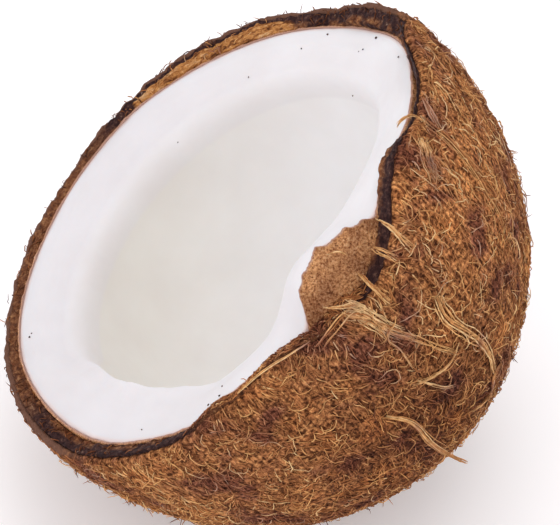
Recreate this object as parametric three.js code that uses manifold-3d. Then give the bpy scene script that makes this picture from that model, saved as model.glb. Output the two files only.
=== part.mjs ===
// Half a coconut, cracked crosswise and lying on its round side with the broken opening up.
// Millimetres, +Z up. The origin is the middle of the small flat spot that it rests on.
//
// The nut's own frame has its origin at the middle of the whole nut and +Z along its length, out of the
// opening. A place on the nut is given by its azimuth round that axis and its height along the axis.
// Azimuth 0 is the high side of the tilted rim, and 270 degrees faces the front.

import * as THREE from 'three';
import { mergeVertices } from 'three/addons/utils/BufferGeometryUtils.js';
import Module from 'manifold-3d';

const wasm = await Module();
wasm.setup();

// The whole nut is an ellipsoid of revolution, measured over the mat of husk fibres.
const NUT_RADIUS = 56.3;
const NUT_HALF_LENGTH = 63.6;

// Thickness of each layer from the outside in, the hair of clearance between neighbours, and the hollow.
const COIR_THICKNESS = 1.4;
const SHELL_THICKNESS = 3.0;
const TESTA_THICKNESS = 0.7;
const CLEARANCE = 0.3;
const CAVITY_RADIUS = 38;
const CAVITY_HALF_LENGTH = 46.5;

// How the half lies: tipped toward -X, turned a little, and pressed flat underneath.
const TILT = THREE.MathUtils.degToRad(35.8);
const YAW = THREE.MathUtils.degToRad(5.3);
const NUT_CENTRE = new THREE.Vector3(-8.8, -0.6, 60.3);
const FLAT_SPOT_RADIUS = 13.6;
const FLAT_SPOT_HEIGHT = 2.2;

// The broken rim, as [azimuth in degrees, height in mm]: the outer edge of the shell, the outer edge of
// the flesh with its skin, and the edge where the flesh turns down into the hollow. The shell has a notch
// between 288 and 318 degrees, where a tongue of flesh with its brown skin stands up bare.
const SHELL_RIM = [
  [0, 15.8], [5, 16.5], [9, 16.2], [14, 14], [19, 9], [30, 7], [53, 4.5], [73, 6.5], [95, 8], [130, 7],
  [186, 6], [206, 5], [220, 3.6], [232, 4.8], [256, 7], [266, 10.2], [271, 9.8], [280, 11.6], [285, 11.6],
  [291, 9.6], [299, 9.4], [305, 7.8], [310, 9], [318, 12], [325, 15.8], [331, 17.2], [338, 16.1], [345, 14.9],
  [354, 14.7],
];
const FLESH_RIM = [
  [0, 11.2], [12, 9], [24, 6.5], [36, 4.2], [50, 3.7], [80, 5.6], [110, 8], [150, 7.2], [188, 7.8],
  [198, 6.8], [210, 4.6], [222, 3.2], [230, 3.2], [250, 4.7], [256, 5.2], [266, 8.2], [280, 9.5], [291, 9],
  [293, 11.7], [296, 15.8], [302, 18.1], [308, 17.3], [314, 15.2], [318.5, 12.7], [324, 13.8], [332, 14.6],
  [338, 14], [345, 12.6],
];
const CAVITY_RIM = [
  [0, 7.5], [15, 4.6], [35, 2.7], [100, 2.8], [190, 3], [228, 3.6], [251, 2.2], [262, 3.2], [284, 6.5],
  [293, 12], [300, 13.8], [325, 11.5], [345, 9.5],
];

// How far the broken face of the shell slopes down from its outer edge to its inner edge, in mm. It is wide
// and steep on the high side.
const SHELL_SLANT = [
  [0, 4.8], [9, 5.6], [19, 1.8], [30, 1.4], [53, 0.8], [73, 1.8], [95, 2.2], [130, 1.4], [200, 1],
  [250, 1.7], [284, 1.5], [292, 0.6], [326, 0.6], [334, 1.2], [345, 3],
];

// Rows of facets, as angles up from the closed end. Layers that lie on each other share the coarse rows.
const SEGMENTS = 60;
const LAYER_ROWS = [0, 15, 30, 45, 58, 70, 80];
const CAVITY_ROWS = [0, 12, 24, 36, 48, 59, 69, 78];
const MAT_ROWS = [0, 10, 20, 30, 40, 50, 60, 70, 80];

// Depth of each surface below the outside of the mat.
const SHELL_OUTSIDE = COIR_THICKNESS + CLEARANCE;
const SHELL_INSIDE = SHELL_OUTSIDE + SHELL_THICKNESS;
const TESTA_OUTSIDE = SHELL_INSIDE + CLEARANCE;
const TESTA_INSIDE = TESTA_OUTSIDE + TESTA_THICKNESS;
const FLESH_OUTSIDE = TESTA_INSIDE + CLEARANCE;

const materials = {
  flesh: new THREE.MeshStandardMaterial({ color: 0xf3f1ee, roughness: 0.55, metalness: 0 }),
  testa: new THREE.MeshStandardMaterial({ color: 0xa0653c, roughness: 0.9, metalness: 0 }),
  shell: new THREE.MeshStandardMaterial({ color: 0x3a231b, roughness: 0.7, metalness: 0 }),
  coir: new THREE.MeshStandardMaterial({ color: 0x86532f, roughness: 1, metalness: 0 }),
};

// A closed geometry as a solid that can be joined and cut.
function solid(geometry) {
  geometry.deleteAttribute('normal');
  geometry.deleteAttribute('uv');
  const merged = mergeVertices(geometry, 1e-4);
  const index = Array.from(merged.index.array);
  const corners = [];
  for (let start = 0; start < index.length; start += 3) {
    const [a, b, c] = index.slice(start, start + 3);
    if (a !== b && b !== c && c !== a) corners.push(a, b, c);
  }
  return new wasm.Manifold(new wasm.Mesh({
    numProp: 3,
    vertProperties: Float32Array.from(merged.attributes.position.array),
    triVerts: Uint32Array.from(corners),
  }));
}

// The solid as a named mesh. Loose scraps and sealed bubbles are dropped: the largest body is the piece.
function piece(name, body) {
  const [largest] = body.decompose().sort((one, other) => other.volume() - one.volume());
  const { vertProperties, triVerts } = largest.getMesh();
  const geometry = new THREE.BufferGeometry();
  geometry.setAttribute('position', new THREE.BufferAttribute(vertProperties, 3));
  geometry.setIndex(new THREE.BufferAttribute(triVerts, 1));
  geometry.computeVertexNormals();
  const mesh = new THREE.Mesh(geometry, materials[name]);
  mesh.name = name;
  return mesh;
}

// Height of a rim outline at an azimuth, in straight runs between its points and on round to the first.
function rimHeight(rim, azimuth) {
  const degrees = THREE.MathUtils.radToDeg(azimuth);
  const closed = [...rim, [rim[0][0] + 360, rim[0][1]]];
  const next = closed.findIndex(([angle]) => angle > degrees);
  const [fromAngle, fromHeight] = closed[next - 1];
  const [toAngle, toHeight] = closed[next];
  return THREE.MathUtils.mapLinear(degrees, fromAngle, toAngle, fromHeight, toHeight);
}

// One meridian of an ellipsoid as [radius, height] points, from the closed end up to a rim height.
function meridian(radius, halfLength, rimAt, rows, rimRows) {
  const angles = rows.map((degrees) => THREE.MathUtils.degToRad(degrees));
  const last = angles[angles.length - 1];
  const rimAngle = Math.acos(-rimAt / halfLength);
  for (let row = 1; row <= rimRows; row += 1) {
    angles.push(THREE.MathUtils.lerp(last, rimAngle, row / rimRows));
  }
  return angles.map((angle) => [radius * Math.sin(angle), -halfLength * Math.cos(angle)]);
}

// The same for a surface at a depth below the outside of the mat.
function layerMeridian(depth, rimAt, rimRows = 3) {
  return meridian(NUT_RADIUS - depth, NUT_HALF_LENGTH - depth, rimAt, LAYER_ROWS, rimRows);
}

// A solid turned round the nut's axis, whose outline changes with the azimuth. The outline runs from the
// axis outside, over the rim and back to the axis inside.
function turned(outlineAt) {
  const first = outlineAt(0);
  const profile = first.map(([radius, height]) => new THREE.Vector2(radius, height));
  const geometry = new THREE.LatheGeometry(profile, SEGMENTS);
  const { position } = geometry.attributes;
  for (let turn = 0; turn <= SEGMENTS; turn += 1) {
    const azimuth = (2 * Math.PI * (turn % SEGMENTS)) / SEGMENTS;
    outlineAt(azimuth).forEach(([radius, height], row) => {
      const x = radius * Math.cos(azimuth);
      const y = radius * Math.sin(azimuth);
      position.setXYZ(turn * first.length + row, x, y, height);
    });
  }
  return solid(geometry);
}

// White flesh: a thick cup. Its broken face slopes in toward the hollow and rounds over the edge.
function flesh() {
  return turned((azimuth) => {
    const outside = layerMeridian(FLESH_OUTSIDE, rimHeight(FLESH_RIM, azimuth) - 0.3);
    const [faceRadius, faceHeight] = outside[outside.length - 1];
    const edge = rimHeight(CAVITY_RIM, azimuth);
    const innerRadius = CAVITY_RADIUS * Math.sqrt(1 - (edge / CAVITY_HALF_LENGTH) ** 2);
    const face = [0.4, 0.75].map((part) => [
      THREE.MathUtils.lerp(faceRadius, innerRadius, part),
      THREE.MathUtils.lerp(faceHeight, edge, part) + 0.3,
    ]);
    const rounding = [innerRadius + 0.9, edge - 0.6];
    const inside = meridian(CAVITY_RADIUS, CAVITY_HALF_LENGTH, edge - 3.2, CAVITY_ROWS, 2);
    return [...outside, ...face, rounding, ...inside.reverse()];
  });
}

// Testa: the thin brown skin of the flesh.
function testa() {
  return turned((azimuth) => {
    const rim = rimHeight(FLESH_RIM, azimuth);
    const outside = layerMeridian(TESTA_OUTSIDE, rim);
    const inside = layerMeridian(TESTA_INSIDE, rim + 0.1);
    return [...outside, ...inside.reverse()];
  });
}

// Hard shell. Its broken face slopes in by the slant, but never below the skin of the flesh.
function shell() {
  return turned((azimuth) => {
    const rim = rimHeight(SHELL_RIM, azimuth);
    const skin = rimHeight(FLESH_RIM, azimuth);
    const slant = rimHeight(SHELL_SLANT, azimuth);
    const innerRim = Math.min(rim - 0.3, Math.max(skin + 0.3, rim - slant));
    const outside = layerMeridian(SHELL_OUTSIDE, rim);
    const inside = layerMeridian(SHELL_INSIDE, innerRim);
    return [...outside, ...inside.reverse()];
  });
}

// Matted surface of the fibre layer: low bumps drawn out toward the closed end, as a height over the nut.
const BUMP_HEIGHT = 0.3;

function bump(azimuth, height) {
  const along = Math.sin(height * 0.31 + 2.1 * Math.sin(3 * azimuth));
  const around = Math.sin(23 * azimuth + 0.09 * height) * Math.sin(17 * azimuth - 0.13 * height + 1.3);
  return BUMP_HEIGHT * (1 + 0.5 * along + 0.5 * around);
}

// The mat without its hollow: closed across its mouth by a shallow cone well inside the hollow.
const CONE_BOTTOM = -25;

function matBlank() {
  return turned((azimuth) => {
    const rim = rimHeight(SHELL_RIM, azimuth) - 0.3;
    const outside = meridian(NUT_RADIUS, NUT_HALF_LENGTH, rim - 0.5, MAT_ROWS, 3);
    const raised = outside.map(([radius, height]) => {
      const swell = 1 + (bump(azimuth, height) * Math.min(1, radius / 20)) / NUT_RADIUS;
      return [radius * swell, height * swell];
    });
    const [edgeRadius] = outside[outside.length - 1];
    return [...raised, [edgeRadius - 0.9, rim], [edgeRadius - 2.6, rim + 0.1], [0, CONE_BOTTOM]];
  });
}

// Everything inside the mat, carried up past the highest point of the rim.
const HOLLOW_TOP = 24;

function matHollow() {
  return turned(() => [...layerMeridian(COIR_THICKNESS, HOLLOW_TOP, 4), [0, HOLLOW_TOP]]);
}

// A point over the nut at an azimuth, a height and a lift along the outward normal.
function overNut(azimuth, height, lift) {
  const ring = Math.sqrt(Math.max(0, 1 - (height / NUT_HALF_LENGTH) ** 2));
  const point = new THREE.Vector3(
    NUT_RADIUS * ring * Math.cos(azimuth),
    NUT_RADIUS * ring * Math.sin(azimuth),
    height,
  );
  const normal = new THREE.Vector3(
    (ring * Math.cos(azimuth)) / NUT_RADIUS,
    (ring * Math.sin(azimuth)) / NUT_RADIUS,
    height / NUT_HALF_LENGTH ** 2,
  ).normalize();
  return point.addScaledVector(normal, lift);
}

// A fibre along a smooth route of points, three-sided.
const FIBRE_RADIUS = 0.45;

function fibre(route, radius, steps) {
  const outline = [0, 1, 2].map((corner) => {
    const angle = (2 * Math.PI * corner) / 3;
    return new THREE.Vector2(radius * Math.cos(angle), radius * Math.sin(angle));
  });
  const path = new THREE.CatmullRomCurve3(route);
  const options = { extrudePath: path, steps, bevelEnabled: false };
  return solid(new THREE.ExtrudeGeometry(new THREE.Shape(outline), options));
}

// Repeatable random numbers from 0 to 1.
function randomFrom(seed) {
  let state = seed;
  return () => {
    state = (state + 0x6d2b79f5) | 0;
    let mixed = Math.imul(state ^ (state >>> 15), 1 | state);
    mixed = (mixed + Math.imul(mixed ^ (mixed >>> 7), 61 | mixed)) ^ mixed;
    return ((mixed ^ (mixed >>> 14)) >>> 0) / 2 ** 32;
  };
}

// Loose fibres all over the mat. Their roots follow a spiral that spreads them evenly from the closed end
// to the rim. They run mostly along the nut, curl a little, and end free or back in the mat.
const FIBRE_COUNT = 90;
const FIBRE_STEPS = 3;
const ROOT_DEPTH = 0.75;
const GOLDEN_ANGLE = Math.PI * (3 - Math.sqrt(5));

function looseFibres() {
  const random = randomFrom(20);
  const fibres = [];
  for (let count = 0; count < FIBRE_COUNT; count += 1) {
    let azimuth = (count * GOLDEN_ANGLE) % (2 * Math.PI);
    const top = rimHeight(SHELL_RIM, azimuth) - 4;
    const lowest = -0.985 * NUT_HALF_LENGTH;
    let polar = Math.acos(-THREE.MathUtils.lerp(lowest, top, (count + 0.5) / FIBRE_COUNT) / NUT_HALF_LENGTH);
    const step = THREE.MathUtils.lerp(2.2, 4.6, random());
    const curl = (random() - 0.5) * 1.1;
    let heading = (random() - 0.5) * 1.7 + (random() < 0.3 ? Math.PI : 0);
    const free = random() < 0.4;
    const lifts = [-ROOT_DEPTH, 0.9, 1.3, 1, free ? 2.2 : -ROOT_DEPTH];
    const route = lifts.map((lift) => {
      const point = overNut(azimuth, -NUT_HALF_LENGTH * Math.cos(polar), lift);
      polar = Math.abs(polar - (step * Math.cos(heading)) / NUT_HALF_LENGTH);
      azimuth += (step * Math.sin(heading)) / Math.max(12, NUT_RADIUS * Math.sin(polar));
      heading += curl;
      return point;
    });
    fibres.push(fibre(route, FIBRE_RADIUS, FIBRE_STEPS));
  }
  return fibres;
}

// Loose straps, each a few fibres side by side, as [azimuth in degrees, height, lift] along the middle.
const STRAPS = [
  [[298, 10.3, -0.8], [301, 7, 0.5], [302, 0, 0.6], [304, -6, 0.6], [306, -11.5, -0.8]],
  [[313, -3, -0.8], [311, -8, 0.5], [312, -15, 0.7], [315, -26, 0.6], [314, -35, -0.8]],
  [[290, -15, -0.8], [292, -20, 0.8], [293, -27, 1], [292, -38, 2.2], [291, -44, 5]],
  [[311, -15, -0.8], [307, -18.5, 0.7], [301, -16.5, 0.6], [297, -13, -0.8]],
  [[339, 12, -0.8], [340, 15, 0.4], [336, 18.3, 0.9], [333, 20, 1.6]],
];
const STRAP_SPACING = 0.55;

function straps() {
  return STRAPS.flatMap((strap) => [-1, 0, 1].map((side) => {
    const route = strap.map(([degrees, height, lift]) => {
      const azimuth = THREE.MathUtils.degToRad(degrees) + (side * STRAP_SPACING) / NUT_RADIUS;
      return overNut(azimuth, height + 0.6 * side, lift);
    });
    return fibre(route, FIBRE_RADIUS, 5);
  }));
}

// The nut's own frame stands tilted and turned over the flat spot.
const nut = new THREE.Group();
nut.rotation.set(0, -TILT, YAW, 'ZYX');
nut.position.copy(NUT_CENTRE);
nut.updateMatrixWorld();
const toNut = nut.matrixWorld.clone().invert();

// Fibres pressed together under the nut: a low pad round the point it lies on.
function pressedPad() {
  const pad = new THREE.CylinderGeometry(FLAT_SPOT_RADIUS, FLAT_SPOT_RADIUS, 2 * FLAT_SPOT_HEIGHT, 24);
  pad.rotateX(Math.PI / 2);
  return solid(pad.applyMatrix4(toNut));
}

// Everything below the surface that the nut lies on.
const FLOOR_SIZE = 200;

function floorBlock() {
  const block = new THREE.BoxGeometry(FLOOR_SIZE, FLOOR_SIZE, FLOOR_SIZE);
  block.translate(0, 0, -FLOOR_SIZE / 2);
  return solid(block.applyMatrix4(toNut));
}

// Coir: the mat of husk fibres over the shell, with its straps, loose fibres and pressed flat spot.
function coir() {
  const parts = [pressedPad(), ...straps(), ...looseFibres()];
  const joined = parts.reduce((mat, part) => mat.add(part), matBlank());
  return joined.subtract(matHollow()).subtract(floorBlock());
}

nut.add(piece('flesh', flesh()), piece('testa', testa()), piece('shell', shell()), piece('coir', coir()));

const coconut = new THREE.Group();
coconut.add(nut);

export default coconut;
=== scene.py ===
import math

import bmesh
import bpy
import numpy as np
from mathutils import Matrix, Vector, noise


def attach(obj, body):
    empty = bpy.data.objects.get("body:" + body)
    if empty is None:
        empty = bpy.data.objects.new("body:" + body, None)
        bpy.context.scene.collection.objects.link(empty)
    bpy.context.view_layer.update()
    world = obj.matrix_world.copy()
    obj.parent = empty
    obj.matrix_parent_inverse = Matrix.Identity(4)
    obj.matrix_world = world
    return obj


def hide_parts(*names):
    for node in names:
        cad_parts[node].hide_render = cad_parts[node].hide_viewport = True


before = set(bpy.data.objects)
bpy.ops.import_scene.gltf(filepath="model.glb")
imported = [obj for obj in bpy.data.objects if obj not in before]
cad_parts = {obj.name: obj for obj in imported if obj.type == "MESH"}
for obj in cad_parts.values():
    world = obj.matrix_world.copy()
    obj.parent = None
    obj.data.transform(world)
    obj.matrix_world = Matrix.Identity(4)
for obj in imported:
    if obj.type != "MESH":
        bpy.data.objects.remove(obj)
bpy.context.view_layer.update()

# Camera: a long lens looking down at 42 degrees on the open side of the nut. It stands half a metre away,
# so that the nut is seen without the stretch of a near lens.
camera_data = bpy.data.cameras.new("camera")
camera_data.lens = 160.7
camera_data.sensor_width = 36.0
camera_data.clip_start = 0.01
camera = bpy.data.objects.new("camera", camera_data)
camera.location = (-0.0002, -0.3787, 0.3940)
camera.rotation_euler = (math.radians(48.0), 0.0, 0.0)
bpy.context.scene.collection.objects.link(camera)
bpy.context.scene.camera = camera

# Studio: a seamless white table that runs on behind the nut as one pale floor. It glows a little, so that
# it stays nearly white under the lamps.
floor_mesh = bpy.data.meshes.new("floor")
sweep = bmesh.new()
bmesh.ops.create_grid(sweep, x_segments=1, y_segments=1, size=3.0)
sweep.to_mesh(floor_mesh)
sweep.free()
floor = bpy.data.objects.new("floor", floor_mesh)
bpy.context.scene.collection.objects.link(floor)

white_table = bpy.data.materials.new("white_table")
white_table.use_nodes = True
table_shader = white_table.node_tree.nodes["Principled BSDF"]
table_shader.inputs["Base Color"].default_value = (0.94, 0.93, 0.945, 1.0)
table_shader.inputs["Roughness"].default_value = 0.8
table_shader.inputs["Emission Color"].default_value = (0.97, 0.98, 1.0, 1.0)
table_shader.inputs["Emission Strength"].default_value = 0.165
floor_mesh.materials.append(white_table)

# Light: a white room with two wide softboxes, one overhead and a little behind the nut, for the soft shadow
# at its foot, and one in front at the left, for the near side.
room = bpy.data.worlds.new("white_room")
room.use_nodes = True
room.node_tree.nodes["Background"].inputs["Color"].default_value = (1.0, 0.99, 1.0, 1.0)
room.node_tree.nodes["Background"].inputs["Strength"].default_value = 0.90
bpy.context.scene.world = room
bpy.context.scene.view_settings.view_transform = "Standard"


def softbox(name, place, size, watts, colour):
    lamp = bpy.data.lights.new(name, "AREA")
    lamp.shape = "SQUARE"
    lamp.size = size
    lamp.energy = watts
    lamp.color = colour
    box = bpy.data.objects.new(name, lamp)
    box.location = place
    box.rotation_euler = (Vector((0.0, 0.0, 0.05)) - Vector(place)).to_track_quat("-Z", "Y").to_euler()
    bpy.context.scene.collection.objects.link(box)


softbox("key", (0.10, 0.15, 1.2), 0.8, 2.6, (1.0, 0.985, 0.96))
softbox("fill", (-0.65, -0.95, 0.5), 0.9, 2.6, (1.0, 0.99, 1.0))

# Flesh: the white kernel, a cup about 12 mm thick that was cracked across with the nut. Its broken face
# slopes in to the hollow, soft-edged on the far side and with a sharp wavy lip on the low near side.
# Everything on the nut is laid out in millimetres in the nut's own frame, +Z along its axis.
MM = 0.001
NUT_RADIUS = 56.3
NUT_HALF_LENGTH = 63.6
NUT_CENTRE = Vector((-0.0088, -0.0006, 0.0603))
NUT_TURN = Matrix.Rotation(math.radians(5.3), 4, "Z") @ Matrix.Rotation(math.radians(-35.8), 4, "Y")
NUT_POSE = Matrix.Translation(NUT_CENTRE) @ NUT_TURN @ Matrix.Scale(MM, 4)

FLESH_DEPTH = 5.5
FLESH_SIDE_ROWS = 24
FACE_PARTS = (0.02, 0.04, 0.07, 0.1, 0.13, *np.linspace(0.17, 0.86, 15))
HOLLOW_RADIUS = 38.0
HOLLOW_HALF_LENGTH = 46.5
SHARP_LIP = 1.0
SOFT_LIP = 6.5
FLESH_STEPS = np.radians(np.arange(0, 360, 1.2))
FLESH_RIM = [
    (0, 11.2), (12, 9.0), (24, 6.5), (36, 4.2), (50, 3.7), (80, 5.6), (110, 8.0), (150, 7.2), (176, 7.6),
    (188, 7.9), (198, 6.8), (210, 4.6), (222, 3.2), (230, 3.2), (240, 4.2), (250, 4.7), (256, 5.0),
    (262, 7.0), (266, 8.2), (271, 8.2), (280, 9.5), (286, 9.5), (289, 9.0), (291.2, 8.8),
    (292.5, 9.9), (292.9, 11.7), (294.3, 13.3), (295.2, 15.0), (296.5, 16.1), (298.5, 16.9), (300.6, 17.5),
    (302, 18.1), (303.5, 18.5), (305.8, 18.6), (306.7, 17.6), (308.3, 17.1), (312, 16.6), (313.6, 15.7),
    (314.4, 14.7), (316.1, 13.9), (318.1, 12.7), (319.2, 12.7), (321.7, 13.3), (324, 13.8), (328, 14.2),
    (332, 14.6), (336, 14.4), (340, 13.6), (345, 12.6),
]
HOLLOW_RIM = [
    (0, 7.5), (15, 4.6), (35, 2.7), (100, 2.8), (190, 3.0), (228, 3.6), (251, 2.2), (262, 3.2), (284, 6.5),
    (293, 12.0), (300, 13.8), (325, 11.5), (345, 9.5),
]


def rim_height(outline, azimuth, softness=2.0):
    """Height of a broken edge at an azimuth, evened out over a few degrees."""
    places, heights = zip(*outline)
    around = math.degrees(azimuth) + np.linspace(-softness, softness, 9)
    return float(np.interp(around, places, heights, period=360).mean())


def between(azimuth, low, high, edge):
    """1 between two azimuths in degrees and 0 outside them, with a soft edge inside each end."""
    degrees = math.degrees(azimuth) % 360
    return float(np.clip(min(degrees - low, high - degrees) / edge, 0, 1))


def meridian(depth, rim, rows, tone=0.0):
    """Points from the closed end up to the rim, at a depth below the face of the nut."""
    radius = NUT_RADIUS - depth
    half_length = NUT_HALF_LENGTH - depth
    angles = np.linspace(0.0, math.acos(-rim / half_length), rows)
    return [(radius * math.sin(angle), -half_length * math.cos(angle), tone) for angle in angles]


def rolled_up(section, azimuths):
    """A sheet rolled round the nut's axis: each column of the grid follows the section at its azimuth."""
    columns = len(azimuths)
    outlines = [section(azimuth) for azimuth in azimuths]
    outlines.append(outlines[0])
    turns = [*azimuths, azimuths[0]]
    rows = len(outlines[0])
    shape = bmesh.new()
    tone_of = shape.verts.layers.float.new("tone")
    bmesh.ops.create_grid(shape, x_segments=columns, y_segments=rows - 1, size=0.5)
    for point in shape.verts:
        column = round((point.co.x + 0.5) * columns)
        row = round((point.co.y + 0.5) * (rows - 1))
        radius, height, tone = outlines[column][row]
        point.co = (radius * math.cos(turns[column]), radius * math.sin(turns[column]), height)
        point[tone_of] = tone
    bmesh.ops.remove_doubles(shape, verts=shape.verts[:], dist=1e-4)
    return shape


def new_piece(name, shape, material):
    for face in shape.faces:
        face.smooth = True
    mesh = bpy.data.meshes.new(name)
    shape.to_mesh(mesh)
    shape.free()
    mesh.materials.append(material)
    piece = bpy.data.objects.new(name, mesh)
    bpy.context.scene.collection.objects.link(piece)
    return piece


def finished(name, shape, material):
    """Brings a shape from the nut's own frame to the shared one, and makes it a piece."""
    bmesh.ops.transform(shape, matrix=NUT_POSE, verts=shape.verts[:])
    bmesh.ops.recalc_face_normals(shape, faces=shape.faces[:])
    return new_piece(name, shape, material)


def flesh_section(azimuth):
    outside = meridian(FLESH_DEPTH, rim_height(FLESH_RIM, azimuth) - 0.15, FLESH_SIDE_ROWS, -1.0)
    face_radius, face_height, _ = outside[-1]
    around = Vector((math.cos(azimuth), math.sin(azimuth), 0.0))
    lip = between(azimuth, 192, 262, 14)
    wobble = noise.noise(around * 3.1) * 0.9 + noise.noise(around * 13.0) * (0.35 + 0.7 * lip)
    edge = rim_height(HOLLOW_RIM, azimuth, 5.0) + 0.8 * wobble * lip
    hollow_radius = HOLLOW_RADIUS * math.sqrt(1 - (edge / HOLLOW_HALF_LENGTH) ** 2)
    edge_radius = hollow_radius + (1 - lip) * (0.8 + wobble) - 0.5 * lip
    softness = SHARP_LIP + (SOFT_LIP - SHARP_LIP) * (1 - lip)
    face = []
    for part in FACE_PARTS:
        crown = 0.55 * math.sin(math.pi * part) * (1 - lip * 0.4)
        ripple = 0.22 * noise.noise(around * (6 + 4 * part) + Vector((0, 0, 3 * part)))
        radius = face_radius + (edge_radius + softness * 0.5 - face_radius) * part / FACE_PARTS[-1]
        height = face_height + (edge - face_height) * part + crown + ripple
        face.append((radius, height, -1.0 + min(1.0, part / 0.16)))
    top_radius, top_height, _ = face[-1]
    rounding = []
    wall_height = edge - softness
    wall_radius = HOLLOW_RADIUS * math.sqrt(1 - (wall_height / HOLLOW_HALF_LENGTH) ** 2)
    corner_radius = min(edge_radius, wall_radius)
    for step in np.linspace(0.12, 0.92, 9):
        along = (1 - step) ** 2
        middle = 2 * step * (1 - step)
        last = step ** 2
        rounding.append((
            along * top_radius + middle * corner_radius + last * wall_radius,
            along * top_height + middle * (edge + 0.15) + last * wall_height,
            0.6 * step,
        ))
    angles = np.linspace(math.acos(-wall_height / HOLLOW_HALF_LENGTH), 0.0, 46)
    hollow = [(HOLLOW_RADIUS * math.sin(angle), -HOLLOW_HALF_LENGTH * math.cos(angle), 1.0) for angle in angles]
    return outside + face + rounding + hollow


def new_finish(name, roughness, gloss):
    material = bpy.data.materials.new(name)
    material.use_nodes = True
    shader = material.node_tree.nodes["Principled BSDF"]
    shader.inputs["Roughness"].default_value = roughness
    shader.inputs["Specular IOR Level"].default_value = gloss
    return material


def add_node(material, kind, links=(), **values):
    """A node with its inputs set by name, and links as (input name, node, output name)."""
    node = material.node_tree.nodes.new(kind)
    for name, value in values.items():
        setattr(node, name, value)
    for entry, source, output in links:
        material.node_tree.links.new(source.outputs[output], node.inputs[entry])
    return node


def add_noise(material, scale, detail, source=None, output="Object", roughness=0.55):
    place = source or add_node(material, "ShaderNodeTexCoord")
    texture = add_node(material, "ShaderNodeTexNoise", [("Vector", place, output)])
    texture.inputs["Scale"].default_value = scale
    texture.inputs["Detail"].default_value = detail
    texture.inputs["Roughness"].default_value = roughness
    return texture


def add_ramp(material, source, output, stops):
    ramp = add_node(material, "ShaderNodeValToRGB", [("Fac", source, output)])
    elements = ramp.color_ramp.elements
    while len(elements) < len(stops):
        elements.new(1.0)
    for element, (place, colour) in zip(elements, stops):
        element.position = place
        element.color = (*colour, 1.0)
    return ramp


def add_mix(material, blend, factor, first, second):
    """Mixes two colours. The factor is a number, or a node with its output name."""
    mix = add_node(material, "ShaderNodeMix", data_type="RGBA", blend_type=blend)
    for entry, source in ((6, first), (7, second)):
        if isinstance(source, tuple) and isinstance(source[1], str):
            material.node_tree.links.new(source[0].outputs[source[1]], mix.inputs[entry])
        else:
            mix.inputs[entry].default_value = (*source, 1.0)
    if isinstance(factor, tuple):
        material.node_tree.links.new(factor[0].outputs[factor[1]], mix.inputs[0])
    else:
        mix.inputs[0].default_value = factor
    return mix


def add_range(material, source, output, low, high, to_low=0.0, to_high=1.0):
    node = add_node(material, "ShaderNodeMapRange", [("Value", source, output)])
    for name, value in (("From Min", low), ("From Max", high), ("To Min", to_low), ("To Max", to_high)):
        node.inputs[name].default_value = value
    return node


def finish_surface(material, colour, bumps):
    """Wires the colour and a chain of bumps, each (node, output, strength, distance), into the shader."""
    links = material.node_tree.links
    shader = material.node_tree.nodes["Principled BSDF"]
    links.new(colour.outputs[2] if colour.bl_idname == "ShaderNodeMix" else colour.outputs["Color"],
              shader.inputs["Base Color"])
    last = None
    for source, output, strength, distance in bumps:
        bump = add_node(material, "ShaderNodeBump", [("Height", source, output)])
        bump.inputs["Strength"].default_value = strength
        bump.inputs["Distance"].default_value = distance
        if last:
            links.new(last.outputs["Normal"], bump.inputs["Normal"])
        last = bump
    if last:
        links.new(last.outputs["Normal"], shader.inputs["Normal"])


white_flesh = new_finish("white_flesh", 0.5, 0.3)
flesh_tone = add_node(white_flesh, "ShaderNodeAttribute", attribute_name="tone")
hollow_part = add_range(white_flesh, flesh_tone, "Fac", 0.0, 1.0)
skin_part = add_range(white_flesh, flesh_tone, "Fac", -0.55, -1.0)
flesh_place = add_node(white_flesh, "ShaderNodeTexCoord")
flesh_sides = add_node(white_flesh, "ShaderNodeSeparateXYZ", [("Vector", flesh_place, "Object")])
painted_hollow_shade = add_range(white_flesh, flesh_sides, "X", 0.012, -0.030)
flesh_clouds = add_noise(white_flesh, 70.0, 3.0)
cloud_shade = add_ramp(white_flesh, flesh_clouds, "Fac", [
    (0.35, (0.965, 0.955, 0.95)), (0.65, (1.0, 1.0, 1.0)),
])
# Painted shade: the hollow is darker and warmer toward its left wall.
hollow_colour = add_mix(white_flesh, "MIX", (painted_hollow_shade, "Result"), (0.885, 0.875, 0.885), (0.79, 0.76, 0.705))
# Painted shade: the broken face of the flesh is darker toward the left.
painted_rim_shade = add_range(white_flesh, flesh_sides, "X", -0.035, 0.028)
rim_colour = add_mix(white_flesh, "MIX", (painted_rim_shade, "Result"), (0.75, 0.725, 0.75), (0.80, 0.78, 0.80))
flesh_colour = add_mix(
    white_flesh, "MIX", (hollow_part, "Result"), (rim_colour, "Result"), (hollow_colour, "Result"))
flesh_colour = add_mix(white_flesh, "MULTIPLY", 1.0, (flesh_colour, "Result"), (cloud_shade, "Color"))
flesh_colour = add_mix(white_flesh, "MIX", (skin_part, "Result"), (flesh_colour, "Result"), (0.78, 0.60, 0.56))
flesh_grain = add_noise(white_flesh, 900.0, 4.0)
flesh_waves = add_noise(white_flesh, 160.0, 2.0)
finish_surface(white_flesh, flesh_colour, [
    (flesh_waves, "Fac", 0.12, 0.001), (flesh_grain, "Fac", 0.06, 0.0003),
])
flesh_shader = white_flesh.node_tree.nodes["Principled BSDF"]
flesh_shader.inputs["Subsurface Weight"].default_value = 0.25
flesh_shader.inputs["Subsurface Radius"].default_value = (0.004, 0.003, 0.0025)
flesh_shader.inputs["Subsurface Scale"].default_value = 1.0

flesh_shape = rolled_up(flesh_section, FLESH_STEPS)
flesh = finished("white_kernel", flesh_shape, white_flesh)
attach(flesh, "root")
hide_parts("flesh")

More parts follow.
